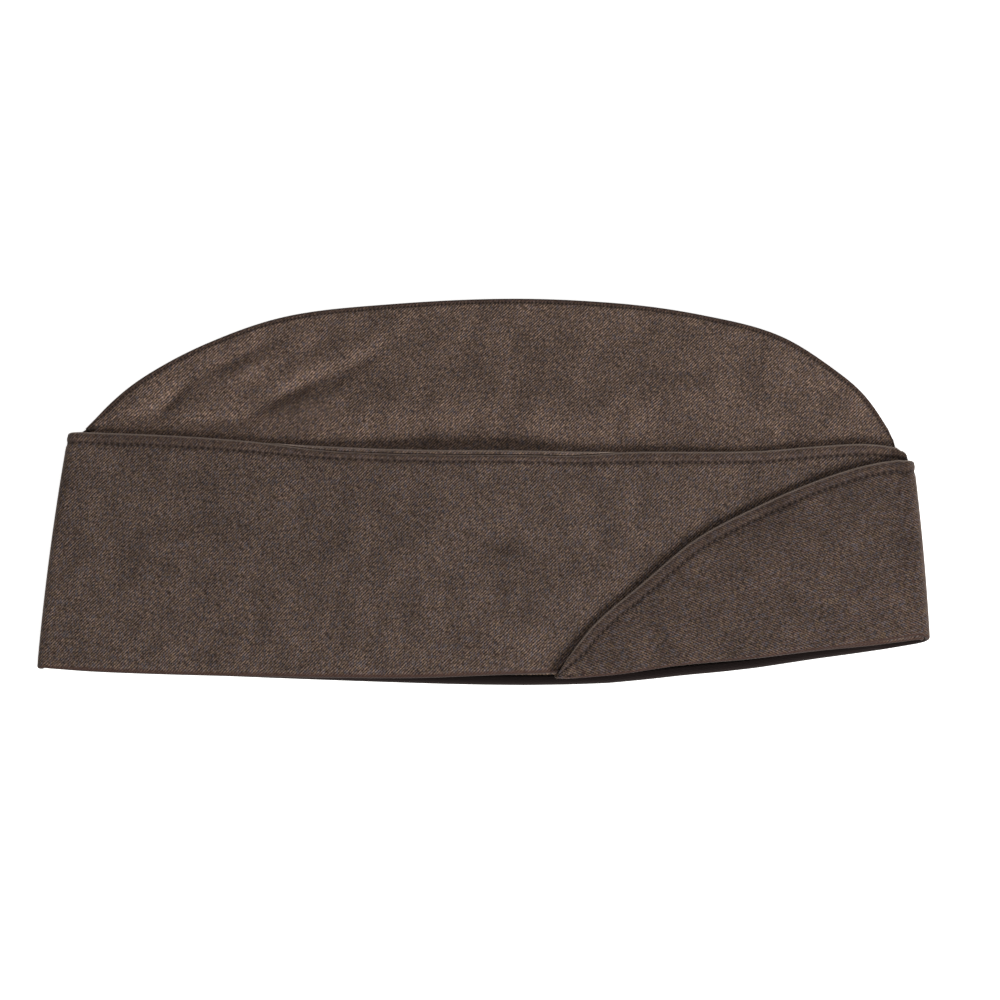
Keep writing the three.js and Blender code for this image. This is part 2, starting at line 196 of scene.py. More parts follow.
def height_map(node, keep, from_above=True):
    """Heights of a solid's upper or lower side, where keep(x, y) says so, filled outwards and blurred."""
    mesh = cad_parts[node].data
    tree = BVHTree.FromPolygons([v.co for v in mesh.vertices], [p.vertices for p in mesh.polygons])
    start, way = (1.0, -1.0) if from_above else (-1.0, 1.0)
    heights = np.full((len(map_x), len(map_y)), np.nan)
    for i, x in enumerate(map_x):
        for j, y in enumerate(map_y):
            if keep(x, y):
                hit = tree.ray_cast(Vector((x, y, start)), Vector((0, 0, way)))[0]
                heights[i, j] = hit.z if hit else np.nan
    while np.isnan(heights).any():
        padded = np.pad(heights, 1, constant_values=np.nan)
        sides = np.stack([padded[:-2, 1:-1], padded[2:, 1:-1], padded[1:-1, :-2], padded[1:-1, 2:]])
        known = ~np.isnan(sides)
        total = np.where(known, sides, 0).sum(axis=0)
        mean = np.divide(total, known.sum(axis=0), out=np.full(total.shape, np.nan), where=known.any(axis=0))
        heights = np.where(np.isnan(heights), mean, heights)
    for axis in (0, 1) * BLUR_TIMES:
        padded = np.pad(heights, [(3, 3), (0, 0)] if axis == 0 else [(0, 0), (3, 3)], mode="edge")
        heights = np.apply_along_axis(lambda line: np.convolve(line, BLUR, mode="valid"), axis, padded)
    return heights


def height_at(heights, x, y):
    """The height between four neighbours on a map."""
    u = min(max((x - map_x[0]) / MAP_STEP, 0), len(map_x) - 1.001)
    v = min(max((y - map_y[0]) / MAP_STEP, 0), len(map_y) - 1.001)
    i, j = int(u), int(v)
    low = heights[i, j] + (heights[i + 1, j] - heights[i, j]) * (u - i)
    high = heights[i, j + 1] + (heights[i + 1, j + 1] - heights[i, j + 1]) * (u - i)
    return float(low + (high - low) * (v - j))


HEM_BAND = 8.5 * MM


def on_the_plain_curtain(x, y):
    """Where the right curtain's solid has its full thickness, past its folds and its thinner hems."""
    on_run = back_fold(y) + back_radius < x < front_fold(y) - front_radius
    return on_run and right_mouth(x) + MOUTH_FOLD < y < right_top(x) - HEM_BAND


curtain_heights = height_map("right_curtain", on_the_plain_curtain)
crown_heights = height_map("right_crown_panel", lambda x, y: True)
under_heights = height_map("left_crown_panel", lambda x, y: True, from_above=False)
print("the curtain's height runs to", round(curtain_heights.max() / MM, 1), "mm")

# %% [markdown]
# ## Soft folds
# The solids carry the cap's main dents. The cloth also has finer ones: creases that fan out over the back
# of the crown, and slow waves over the curtain. Each is a long smooth bump, given by its place, size,
# turn and rise. The waves lift every layer over the hollow by the same amount, so those layers move
# together.

# %% List the soft folds
# along and up are in mm from the cap's middle, reach and width are half sizes in mm, turn is in degrees
CROWN_CREASES = [
    {"along": -5, "up": 14, "reach": 32, "width": 3.6, "turn": -1, "rise": -1.49},
    {"along": -62, "up": 33, "reach": 15, "width": 2.6, "turn": 28, "rise": -2.03},
    {"along": -44, "up": 40, "reach": 12, "width": 2.6, "turn": 36, "rise": -1.22},
    {"along": -52, "up": 29, "reach": 16, "width": 3.2, "turn": 24, "rise": 0.7},
    {"along": -75, "up": 41, "reach": 14, "width": 3.0, "turn": 24, "rise": 0.92},
    {"along": -82, "up": 44, "reach": 13, "width": 2.6, "turn": 26, "rise": -0.7},
    {"along": -60, "up": 47, "reach": 13, "width": 3.0, "turn": 22, "rise": -0.7},
    {"along": -103, "up": 30, "reach": 7, "width": 2.4, "turn": 49, "rise": -1.49},
    {"along": -113, "up": 24, "reach": 6, "width": 3.0, "turn": 0, "rise": -1.01},
    {"along": -88, "up": 22, "reach": 14, "width": 2.2, "turn": -3, "rise": -0.61},
    {"along": 69, "up": 44, "reach": 16, "width": 7.0, "turn": -42, "rise": 0.81},
    {"along": 118, "up": 28, "reach": 12, "width": 5.0, "turn": -50, "rise": -0.81},
]
SIDE_WAVES = [
    {"along": -105, "up": -12, "reach": 11, "width": 4.0, "turn": 14, "rise": -0.6},
    {"along": -58, "up": -12, "reach": 12, "width": 8.0, "turn": 45, "rise": -0.81},
    {"along": -17, "up": -14, "reach": 13, "width": 8.0, "turn": 55, "rise": 0.81},
    {"along": 6, "up": -19, "reach": 14, "width": 5.0, "turn": -12, "rise": -0.68},
    {"along": 25, "up": -36, "reach": 13, "width": 8.0, "turn": 5, "rise": 0.81},
    {"along": 10, "up": 9, "reach": 14, "width": 4.0, "turn": 0, "rise": 0.6},
    {"along": -124, "up": -20, "reach": 12, "width": 4.0, "turn": -14, "rise": -0.54},
    {"along": 90, "up": -10, "reach": 16, "width": 5.0, "turn": 28, "rise": -0.68},
    {"along": 112, "up": -20, "reach": 14, "width": 7.0, "turn": -20, "rise": 0.54},
]


def waves(table, x, y):
    """The sum of a table's bumps at a point, in metres."""
    total = 0.0
    for fold in table:
        dx, dy = x / MM - fold["along"], y / MM - fold["up"]
        turn = math.radians(fold["turn"])
        lengthways = (dx * math.cos(turn) + dy * math.sin(turn)) / fold["reach"]
        across = (dy * math.cos(turn) - dx * math.sin(turn)) / fold["width"]
        total += fold["rise"] * math.exp(-(lengthways**2) - across**2)
    return total * MM


def ease(value, start, end):
    """0 before start, 1 after end, and a smooth step between them."""
    t = min(max((value - start) / (end - start), 0), 1)
    return t * t * (3 - 2 * t)


def lerp(a, b, t):
    return a + (b - a) * t


FOLD_EASE = 8 * MM
WAVE_EASE = 20 * MM
RIDGE_EASE = 9 * MM
CREASE_SHOWS = (-3 * MM, 2 * MM)


def room(x, y):
    """How far a point is inside the nearer one of the two folds' bends."""
    return min(x - back_fold(y) - back_radius, front_fold(y) - front_radius - x)


def side_waves(x, y):
    return waves(SIDE_WAVES, x, y) * ease(room(x, y), 0, WAVE_EASE)


def curtain_height(x, y):
    """The right curtain's outside, level with the top of the fold at its two ends."""
    swell = height_at(curtain_heights, x, y) - 2 * back_radius
    return 2 * back_radius + swell * ease(room(x, y), 0, FOLD_EASE) + side_waves(x, y)


def crown_height(x, y):
    """The right crown panel. Its creases show past the curtain, and die away at the ridge."""
    shown = ease(y - right_top(x), *CREASE_SHOWS)
    free = 1 - ease(y, ridge(x) - RIDGE_EASE, ridge(x))
    lift = side_waves(x, y) + waves(CROWN_CREASES, x, y) * shown
    return height_at(crown_heights, x, y) + lift * free


def under_height(x, y):
    """The left crown panel's lower side."""
    return height_at(under_heights, x, y)


print("folds listed:", len(CROWN_CREASES) + len(SIDE_WAVES))

# %% [markdown]
# ## A sheet of cloth
# Cloth is cut flat and then bent, so a sheet starts as a flat grid, and every corner of the grid is
# carried to its place. It keeps its flat place as its UV map, in metres, which lets the weave follow it
# round a fold. Three more numbers ride along for the finish: a tone, how far it is from its stitched seam,
# and how far along that seam. The tone is painted light and shade: above zero it paints edges lighter,
# partly as wear and partly as a painted highlight, and below zero it is painted shade. A Solidify modifier
# then gives the sheet its ply's thickness, inwards.


# %% Make a sheet of cloth
def object_from(name, bm):
    """A bmesh turned into an object of the scene."""
    mesh = bpy.data.meshes.new(name)
    bm.to_mesh(mesh)
    bm.free()
    made = bpy.data.objects.new(name, mesh)
    bpy.context.scene.collection.objects.link(made)
    return made


def cloth_sheet(name, stations, rows, place, thickness):
    """A sheet whose corners are at place(station, row): a point, a flat place, a tone and a seam distance."""
    columns, lines = len(stations), len(rows)
    points = np.zeros((columns, lines, 3))
    flat = np.zeros((columns, lines, 2))
    tones = np.zeros((columns, lines))
    seams = np.ones((columns, lines))
    for i, station in enumerate(stations):
        for j, row in enumerate(rows):
            points[i, j], flat[i, j], tones[i, j], seams[i, j] = place(station, row)
    bm = bmesh.new()
    uv = bm.loops.layers.uv.new("cloth")
    bmesh.ops.create_grid(bm, x_segments=columns - 1, y_segments=lines - 1, size=0.5)
    spots = [(round((v.co.x + 0.5) * (columns - 1)), round((v.co.y + 0.5) * (lines - 1))) for v in bm.verts]
    bm.verts.index_update()
    for vert, spot in zip(bm.verts, spots):
        vert.co = points[spot]
    for face in bm.faces:
        face.smooth = True
        for loop in face.loops:
            loop[uv].uv = flat[spots[loop.vert.index]]
    sheet = object_from(name, bm)
    mesh = sheet.data
    stitch_line = points[np.arange(columns), np.abs(seams).argmin(axis=1)]
    steps = np.linalg.norm(np.diff(stitch_line, axis=0), axis=1)
    along = np.concatenate([[0], np.cumsum(steps)])
    alongs = np.repeat(along[:, None], lines, axis=1)
    for title, values in (("tone", tones), ("seam", seams), ("along", alongs)):
        layer = mesh.attributes.new(title, "FLOAT", "POINT")
        layer.data.foreach_set("value", [values[spot] for spot in spots])
    solidify = sheet.modifiers.new("ply", "SOLIDIFY")
    solidify.thickness = thickness
    solidify.offset = -1
    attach(sheet, "root")
    print(name, "has", len(mesh.polygons), "faces")
    return sheet, points, seams


def flat_size(sheet):
    """The length, width and area of the cut piece of cloth, from the sheet's flat map."""
    mesh = sheet.data
    flat = np.zeros(len(mesh.loops) * 2)
    mesh.uv_layers["cloth"].data.foreach_get("uv", flat)
    flat = flat.reshape(-1, 2)
    area = 0.0
    for face in mesh.polygons:
        corners = flat[list(face.loop_indices)]
        ahead = np.roll(corners, -1, axis=0)
        area += abs(float((corners[:, 0] * ahead[:, 1] - ahead[:, 0] * corners[:, 1]).sum())) / 2
    sides = flat.max(axis=0) - flat.min(axis=0)
    return (float(sides[0]), float(sides[1])), area


def spread(count, low=0.0, high=1.0):
    return [float(value) for value in np.linspace(low, high, count)]


# %% [markdown]
# ## The path of a curtain ply
# Seen from the end, the face ply is a hook. It starts inside the mouth where the crown is sewn to it,
# rolls round the mouth's edge, runs up the outside and turns over at the top edge, past the row of
# stitches. The same path serves both sides and the overlap, so it is worked out once, as a depth below
# the outside and a height.

# %% Work out the path of a face ply
STITCH_INSET = 3.5 * MM
HEM_TOP = 7.0 * MM
HEM = [7.0, 5.6, 4.8, 4.3, 3.9, 3.5, 3.1, 2.7, 2.2, 1.6, 1.1, 0.75, 0.5, 0.3, 0.15, 0.04, 0.0]
EDGE_ROUND = 0.55 * MM
EDGE_TUCK = 0.8 * MM
STITCH_DENT = 0.32 * MM
STITCH_PULL = 0.75 * MM
HEM_PUFF = 0.12 * MM
# the width over which an edge is painted lighter, partly as wear and partly as a painted highlight
LIT_AND_WORN_EDGE = 0.8 * MM
EDGE_LAP = 0.05 * MM
LEAST_STRIP = 0.4 * MM
FAR = 1.0
FACE_STEPS = 38
face_rows = (
    [("flange", t) for t in (0.0, 0.6)]
    + [("roll", t) for t in spread(9)]
    + [("face", t) for t in spread(FACE_STEPS)[1:-1]]
    + [("hem", inset * MM) for inset in HEM]
    + [("edge", 0.0)]
)


def pull(inset, stitch_inset, dent, width):
    """The dent that a row of stitches pulls in the cloth."""
    return dent * math.exp(-(((inset - stitch_inset) / width) ** 2))


def rounding(inset, radius):
    """The drop of a rounded edge at a distance from the edge."""
    near = max(radius - inset, 0)
    return radius - math.sqrt(max(radius**2 - near**2, 0))


def hem_depth(inset):
    """How far the cloth drops near a stitched edge. Between the stitches and the edge it puffs up."""
    puff = pull(inset, STITCH_INSET / 2, HEM_PUFF, STITCH_PULL)
    return rounding(inset, EDGE_ROUND) + pull(inset, STITCH_INSET, STITCH_DENT, STITCH_PULL) - puff


def curtain_path(row, mouth, top, lip, slant=1.0, shift=0.0):
    """Depth, height, flat height, tone and seam distance of one row, with the hem made narrower by shift."""
    kind, t = row
    radius = lip / 2
    squeeze = min(1.0, max(top - mouth, LEAST_STRIP) / (radius + (HEM_TOP + MM) * slant))
    round_up = radius * squeeze
    # Below zero the tone is painted shade: darkest on the flange inside the mouth, and fading out up the
    # roll.
    if kind == "flange":
        y = mouth + lerp(MOUTH_FOLD, radius, t) * squeeze
        return lip, y, mouth - math.pi * radius - (y - mouth), -1.0, FAR
    if kind == "roll":
        turn = math.pi * t
        y = mouth + round_up - round_up * math.sin(turn)
        return radius + radius * math.cos(turn), y, mouth + radius - (1 - t) * math.pi * radius, t - 1.0, FAR
    if kind == "face":
        y = lerp(mouth + round_up, top - (HEM_TOP - shift) * slant * squeeze, t)
        inset = (top - y) / slant + shift
        return hem_depth(inset), y, y, 0.0, inset - STITCH_INSET
    # The edge and the hem beside it are painted lighter, partly as wear and partly as a painted highlight
    # over the shadow between the plies.
    if kind == "edge":
        return EDGE_TUCK, top - EDGE_LAP, top + EDGE_TUCK, 1.0, FAR
    inset = t - shift if t > STITCH_INSET else t * (1 - shift / STITCH_INSET)
    y = top - inset * slant * squeeze
    return hem_depth(t), y, y, 1.0 - ease(t, 0, LIT_AND_WORN_EDGE), t - STITCH_INSET


print("rows in a curtain:", len(face_rows))

# %% [markdown]
# ## Stations along a curtain
# A curtain is one long strip. It bends half way round the back fold to a seam, runs flat along one side,
# and goes into the front fold. A station says where along the strip a column of corners is: a share of
# the flat run, or an angle round a fold. Near the seam the cloth turns in a little, which draws the seam
# as a groove.

# %% Find a station's place
SEAM_ROUND = 0.7 * MM
SEAM_GAP = 0.1 * MM
QUARTER = math.pi / 2
FIRST_GUESS = (-60 * MM, 10 * MM)
GUESSES = 5
back_turns = [("back", math.radians(turn)) for turn in (0, 5, 11, 20, 32, 46, 60, 75)]


def run_x(share, y):
    """The place along the cap at a share of the flat run between the two folds."""
    return lerp(back_fold(y) + back_radius, front_fold(y) - front_radius, share)


def lines_at(share, mouth, top):
    """The heights of the mouth edge and of the top edge on the column at a share of the run."""
    low, high = FIRST_GUESS
    for _ in range(GUESSES):
        low = mouth(run_x(share, low))
        high = top(run_x(share, high))
    return low, high


def round_the_back(turn, depth, y, side):
    """A point on the back fold, turned from the seam towards the run above (side 1) or below (side -1)."""
    radius = back_radius - depth - rounding(back_radius * turn, SEAM_ROUND)
    x = back_fold(y) + back_radius - radius * math.cos(turn)
    z = back_radius + side * (radius * math.sin(turn) + SEAM_GAP / 2 * math.cos(turn))
    return (x, y, z), -back_radius * (QUARTER - turn)


def round_the_front(turn, radius, depth, y):
    """A point on the front fold, turned from the top of the fold."""
    reach = radius - depth
    x = front_fold(y) - front_radius + reach * math.sin(turn)
    return (x, y, front_radius + reach * math.cos(turn)), radius * turn


run_length = run_x(1, FIRST_GUESS[0]) - run_x(0, FIRST_GUESS[0])
print("the run at the mouth is", round(run_length / MM, 1), "mm long")

# %% [markdown]
# ## The right curtain
# This is the side that the photograph shows. Its face ply stops a little short of the top edge over the
# middle of the cap, where the facing has rolled over to the front and shows as a narrow band. So two
# sheets make it, and the same list of stations serves both. Towards the back the turned-in edge is
# pressed thinner.

# %% Set out the right curtain
RIGHT_STEPS = 190
CORNER_DROP = 2.0 * MM
PEEK = 1.7 * MM
PEEK_SPAN = (-81 * MM, -45 * MM, 25 * MM, 52 * MM)
HEM_SHIFT = 0.75
PRESSED_LIP = 1.9 * MM
PRESSED_LENGTH = 14 * MM
FRONT_THIN = (8 * MM, 16 * MM)
right_stations = (
    back_turns
    + [("run", share) for share in spread(RIGHT_STEPS + 1)]
    + [("front", turn) for turn in spread(7, 0, QUARTER)[1:]]
)


def peek_at(x):
    """How far the facing shows past the face ply's edge."""
    rises, full, falls, none = PEEK_SPAN
    return PEEK * ease(x, rises, full) * (1 - ease(x, falls, none))


def lip_at(x, y):
    """The thickness of the turned-in edge, pressed thin at the back and thinned out before the front fold."""
    pressed = lerp(PRESSED_LIP, lip_depth, ease(x - back_fold(y) - back_radius, 0, PRESSED_LENGTH))
    return lerp(CURTAIN_CLOTH, pressed, ease(front_fold(y) - front_radius - x, *FRONT_THIN))


@cache
def right_curtain_lines(station):
    """The mouth, the top edge, the lip and the facing's showing at a station of the right curtain."""
    kind, t = station
    share = {"back": 0.0, "run": t, "front": 1.0}[kind]
    mouth, top = lines_at(share, right_mouth, right_top)
    if kind == "front":
        top -= CORNER_DROP * (t / QUARTER) ** 2
    return mouth, top, lip_at(run_x(share, mouth), mouth), peek_at(run_x(share, top))


def right_curtain_point(station, depth, y):
    """A point on the right curtain at a depth below its outside, and how far along the strip it is."""
    kind, t = station
    if kind == "back":
        point, arc = round_the_back(t, depth, y, 1)
        return point, run_x(0, y) + arc
    if kind == "front":
        point, arc = round_the_front(t, inner_front_radius, depth, y)
        return point, run_x(1, y) + arc
    x = run_x(t, y)
    return (x, y, curtain_height(x, y) - depth), x


def right_face_place(station, row):
    mouth, top, lip, peek = right_curtain_lines(station)
    depth, y, flat_y, tone, seam = curtain_path(row, mouth, top - peek, lip, shift=HEM_SHIFT * peek)
    point, along = right_curtain_point(station, depth, y)
    return point, (along, flat_y), tone, seam


right_face, right_face_points, right_face_seams = cloth_sheet(
    "right_curtain_face", right_stations, face_rows, right_face_place, PLY
)
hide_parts("right_curtain")

# %% [markdown]
# The facing lies behind the face ply and is caught by the same stitches. Where it shows, it comes up
# level with the face ply and rounds over the top edge. Elsewhere it stops just short of it, so the edge
# reads as two plies.

# %% Make the right curtain's facing
FACING_FOOT = 3.6 * MM
FACING_SHY = 0.12 * MM
FACING_RISE = (0.08 * MM, 0.6 * MM)
FACING_LEVEL = 0.1 * MM
LEAST_FACING = 0.3 * MM
FACING = [7, 5.6, 4.8, 4.3, 3.9, 3.5, 3.1, 2.7, 2.3, 2, 1.75, 1.55, 1.35, 1.15, 0.9, 0.6, 0.4, 0.2, 0.07, 0]
facing_rows = (
    [("up", t) for t in spread(12)[:-1]] + [("hem", inset * MM) for inset in FACING] + [("edge", 0.0)]
)


def facing_path(row, mouth, top, peek, slant=1.0):
    """Depth, height, flat height and tone of one row of a facing that shows by peek at its top."""
    kind, t = row
    top -= FACING_SHY * slant
    foot = min(mouth + FACING_FOOT, top - LEAST_FACING)
    squeeze = min(1.0, (top - foot) / (HEM_TOP * slant))
    if kind == "up":
        y = lerp(foot, top - HEM_TOP * slant * squeeze, t)
        return PLY_STEP, y, y, 0.0
    # The edge and the hem beside it are painted lighter, partly as wear and partly as a painted highlight.
    if kind == "edge":
        return PLY_STEP + EDGE_TUCK, top - EDGE_LAP, top + EDGE_TUCK, 1.0
    y = top - t * slant * squeeze
    depth = lerp(PLY_STEP, FACING_LEVEL, ease(peek - t, *FACING_RISE)) + rounding(t, EDGE_ROUND)
    depth += pull(t + FACING_SHY, STITCH_INSET + (1 - HEM_SHIFT) * peek, STITCH_DENT, STITCH_PULL)
    return depth, y, y, 1.0 - ease(t, 0, LIT_AND_WORN_EDGE)


def right_facing_place(station, row):
    mouth, top, _, peek = right_curtain_lines(station)
    depth, y, flat_y, tone = facing_path(row, mouth, top, peek)
    point, along = right_curtain_point(station, depth, y)
    return point, (along, flat_y), tone, FAR


right_facing, _, _ = cloth_sheet("right_curtain_facing", right_stations, facing_rows, right_facing_place, PLY)

# %% [markdown]
# ## The left curtain and its overlap
# The left curtain lies under the cap, comes round the front fold and sweeps back over the right side,
# where its edge runs down in a curve to a tip at the mouth. It is one strip, so it is one sheet, whose
# stations start at the tip. Rows near the sloping edge keep their distance square to it, and all of them
# close up towards the tip.

# %% Set out the left curtain
OVERLAP_STEPS = 100
TIP_CROWDING = 1.3
UNDER_STEPS = 110
SLOPE_STEP = 2 * MM
TIP_CURL = 0.9 * MM
TIP_LENGTH = 7 * MM
tip_y = overlap_mouth(overlap_tip)
tip_share = (overlap_tip - run_x(0, tip_y)) / (run_x(1, tip_y) - run_x(0, tip_y))
left_stations = (
    [("overlap", lerp(tip_share, 1, s**TIP_CROWDING)) for s in spread(OVERLAP_STEPS + 1)]
    + [("front", turn) for turn in spread(15, 0, math.pi)[1:-1]]
    + [("under", share) for share in spread(UNDER_STEPS + 1, 1, 0)]
    + back_turns[::-1]
)
fold_over = lines_at(1, overlap_mouth, overlap_edge)
fold_under = lines_at(1, left_mouth, left_top)


@cache
def left_curtain_lines(station):
    """The mouth, the top edge, the lip and the edge's slant at a station of the left curtain."""
    kind, t = station
    if kind == "overlap":
        mouth, top = lines_at(t, overlap_mouth, overlap_edge)
        x = run_x(t, top)
        slope = (overlap_edge(x + SLOPE_STEP) - overlap_edge(x - SLOPE_STEP)) / (2 * SLOPE_STEP)
        return mouth, top, CURTAIN_CLOTH, math.hypot(1, slope)
    if kind == "front":
        mouth, top = (lerp(over, under, t / math.pi) for over, under in zip(fold_over, fold_under))
        return mouth, top, CURTAIN_CLOTH, 1.0
    share = t if kind == "under" else 0.0
    mouth, top = lines_at(share, left_mouth, left_top)
    return mouth, top, lip_at(run_x(share, mouth), mouth), 1.0


def left_curtain_point(station, depth, y):
    """A point on the left curtain at a depth below its outside, and how far along the strip it is."""
    kind, t = station
    if kind == "front":
        point, arc = round_the_front(t, front_radius, depth, y)
        return point, run_x(1, y) + arc
    fold_length = math.pi * front_radius
    if kind == "back":
        point, arc = round_the_back(t, depth, y, -1)
        return point, 2 * run_x(1, y) + fold_length - run_x(0, y) - arc
    x = run_x(t, y)
    if kind == "under":
        return (x, y, depth), 2 * run_x(1, y) + fold_length - x
    curl = TIP_CURL * (1 - ease(x - overlap_tip, 0, TIP_LENGTH))
    return (x, y, curtain_height(x, y) + overlap_step - depth + curl), x


def left_face_place(station, row):
    mouth, top, lip, slant = left_curtain_lines(station)
    depth, y, flat_y, tone, seam = curtain_path(row, mouth, top, lip, slant)
    point, along = left_curtain_point(station, depth, y)
    return point, (along, flat_y), tone, seam


def left_facing_place(station, row):
    mouth, top, _, slant = left_curtain_lines(station)
    depth, y, flat_y, tone = facing_path(row, mouth, top, 0.0, slant)
    point, along = left_curtain_point(station, depth, y)
    return point, (along, flat_y), tone, FAR


left_face, left_face_points, left_face_seams = cloth_sheet(
    "left_curtain_face", left_stations, face_rows, left_face_place, PLY
)
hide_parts("left_curtain")
left_facing, _, _ = cloth_sheet("left_curtain_facing", left_stations, facing_rows, left_facing_place, PLY)

# %% [markdown]
# ## The crown panels
# Each crown panel hangs from the mouth, passes under its curtain and rises to the ridge. At the ridge it
# is turned over a rounded edge, top-stitched close to it, and sewn to the gusset inside. Near the ridge
# the rows keep their distance square to it, so the rolled edge has the same width all the way round the
# curve.

# %% Work out a crown panel's path
CROWN_STEPS = 190
RIDGE_ENDS = (-131.0 * MM, 135.4 * MM)
RIDGE_BAND = 5.0 * MM
RIDGE_ROUND = 0.9 * MM
RIDGE_STITCH = 1.4 * MM
RIDGE_DENT = 0.22 * MM
RIDGE_PULL = 0.3 * MM
# the ridge's rolled edge is painted darker, as painted shade where it turns under
RIDGE_SHADE = -0.07
RIDGE_FADE = (1.0 * MM, 1.5 * MM)
RIDGE_SHARE = 0.6
RIDGE_CROWDING = 1.15
CROWN_FOOT = 3.15 * MM
RIDGE_INSETS = [5.0, 4.2, 3.5, 2.9, 2.4, 2.05, 1.8, 1.6, 1.4, 1.2, 1.05, 0.9]
crown_rows = (
    [("covered", t) for t in spread(15)[:-1]]
    + [("shown", t**RIDGE_CROWDING) for t in spread(44)[:-1]]
    + [("ridge", inset * MM) for inset in RIDGE_INSETS]
    + [("round", math.radians(turn)) for turn in (22, 44, 66, 90)]
    + [("hook", 1.5 * MM), ("hook", 2.15 * MM)]
)


@cache
def ridge_point(share):
    """A point on the ridge, and the way inwards from it."""
    x = lerp(*RIDGE_ENDS, share)
    slope = (ridge(x + SLOPE_STEP) - ridge(x - SLOPE_STEP)) / (2 * SLOPE_STEP)
    length = math.hypot(1, slope)
    return Vector((x, ridge(x))), Vector((slope / length, -1 / length))


@cache
def crown_edge(share, mouth, top):
    """The foot and the curtain's edge on a column of the crown, with the panel clear of the folds."""
    foot, edge = lines_at(share, mouth, top)
    clear = CLEARANCE * (1 - 2 * share)
    return foot + CROWN_FOOT, Vector((run_x(share, edge) + clear, edge)), clear


def crown_path(share, row, mouth, top):
    """The place in the plan, the depth, the tone and the seam distance of a corner of a crown panel."""
    kind, t = row
    foot, edge, clear = crown_edge(share, mouth, top)
    if kind == "covered":
        y = lerp(foot, edge.y, t)
        return Vector((run_x(share, y) + clear, y)), 0.0, 0.0, FAR
    crest, inwards = ridge_point(share)
    squeeze = min(1.0, RIDGE_SHARE * (crest - edge).length / RIDGE_BAND)
    if kind == "shown":
        plan = edge.lerp(crest + inwards * RIDGE_BAND * squeeze, t)
        return plan, 0.0, 0.0, (crest - plan).length - RIDGE_STITCH
    if kind == "ridge":
        depth = pull(t, RIDGE_STITCH, RIDGE_DENT, RIDGE_PULL)
        # painted shade on the rolled edge, fading out towards the stitches
        tone = RIDGE_SHADE * (1 - ease(t, *RIDGE_FADE))
        return crest + inwards * t * squeeze, depth, tone, t - RIDGE_STITCH
    if kind == "round":
        inset = RIDGE_ROUND * (1 - math.sin(t))
        depth = RIDGE_ROUND * (1 - math.cos(t))
        return crest + inwards * inset * squeeze, depth, RIDGE_SHADE, inset - RIDGE_STITCH
    return crest, t, RIDGE_SHADE, FAR


def crown_place(side):
    """The place of a corner on the right panel (side 1) or on the left panel (side -1)."""
    mouth, top = (right_mouth, right_top) if side > 0 else (left_mouth, left_top)
    surface = crown_height if side > 0 else under_height

    def place(share, row):
        plan, depth, tone, seam = crown_path(share, row, mouth, top)
        z = surface(plan.x, plan.y) - side * depth
        return (plan.x, plan.y, z), (side * plan.x, plan.y + depth), tone, seam

    return place


right_crown, right_crown_points, right_crown_seams = cloth_sheet(
    "right_crown_cloth", spread(CROWN_STEPS + 1), crown_rows, crown_place(1), CROWN_PLY
)
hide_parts("right_crown_panel")
left_crown, left_crown_points, left_crown_seams = cloth_sheet(
    "left_crown_cloth", spread(CROWN_STEPS + 1, 1, 0), crown_rows, crown_place(-1), CROWN_PLY
)
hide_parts("left_crown_panel")

# %% [markdown]
# ## The gusset
# The gusset is a long leaf between the two ridges. It is creased along its middle and folded inwards, so
# from behind only a slit shows between the panels' edges. Its two halves lie face to face, a little
# apart.

# %% Make the gusset
GUSSET_STEPS = 120
GUSSET_REACH = (0.07, 0.93)
GUSSET_INSET = 1.25 * MM
GUSSET_DEPTH = (2.4 * MM, 24 * MM)
GUSSET_GAP = 0.3 * MM
GUSSET_TAPER = 0.8
# the gusset is painted dark all over, as painted shade in the slit
GUSSET_SHADE = -0.3
gusset_rows = (
    [("lower", t) for t in spread(16)]
    + [("turn", turn) for turn in spread(7, -QUARTER, QUARTER)[1:-1]]
    + [("upper", t) for t in spread(16, 1, 0)]
)


def gusset_place(share, row):
    kind, t = row
    crest, inwards = ridge_point(lerp(*GUSSET_REACH, share))
    deep = lerp(*GUSSET_DEPTH, max(math.sin(math.pi * share), 0) ** GUSSET_TAPER)
    turn = {"lower": -QUARTER, "upper": QUARTER, "turn": t}[kind]
    inward = 1.0 if kind == "turn" else t
    reach = GUSSET_INSET + inward * (deep - GUSSET_GAP) + GUSSET_GAP * math.cos(turn)
    plan = crest + inwards * reach
    middle = (under_height(plan.x, plan.y) + crown_height(plan.x, plan.y)) / 2
    flat_y = (deep - reach) * (1 if turn > 0 else -1)
    return (plan.x, plan.y, middle + GUSSET_GAP * math.sin(turn)), (-plan.x, flat_y), GUSSET_SHADE, FAR


gusset_stations = spread(GUSSET_STEPS + 1, 1, 0)
gusset, _, _ = cloth_sheet("gusset_cloth", gusset_stations, gusset_rows, gusset_place, CROWN_PLY)
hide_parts("top_gusset")

# %% [markdown]
# ## Stitches
# A row of machine stitches is a row of short threads that dive into the cloth at each needle hole. Each
# one is a small long bead, laid along the sheet's stitch line and sunk halfway in. A bead has few faces,
# since there are hundreds of them, and a row is one piece.

# %% Lay rows of stitches
BEAD_SEGMENTS = 6
BEAD_RINGS = 5


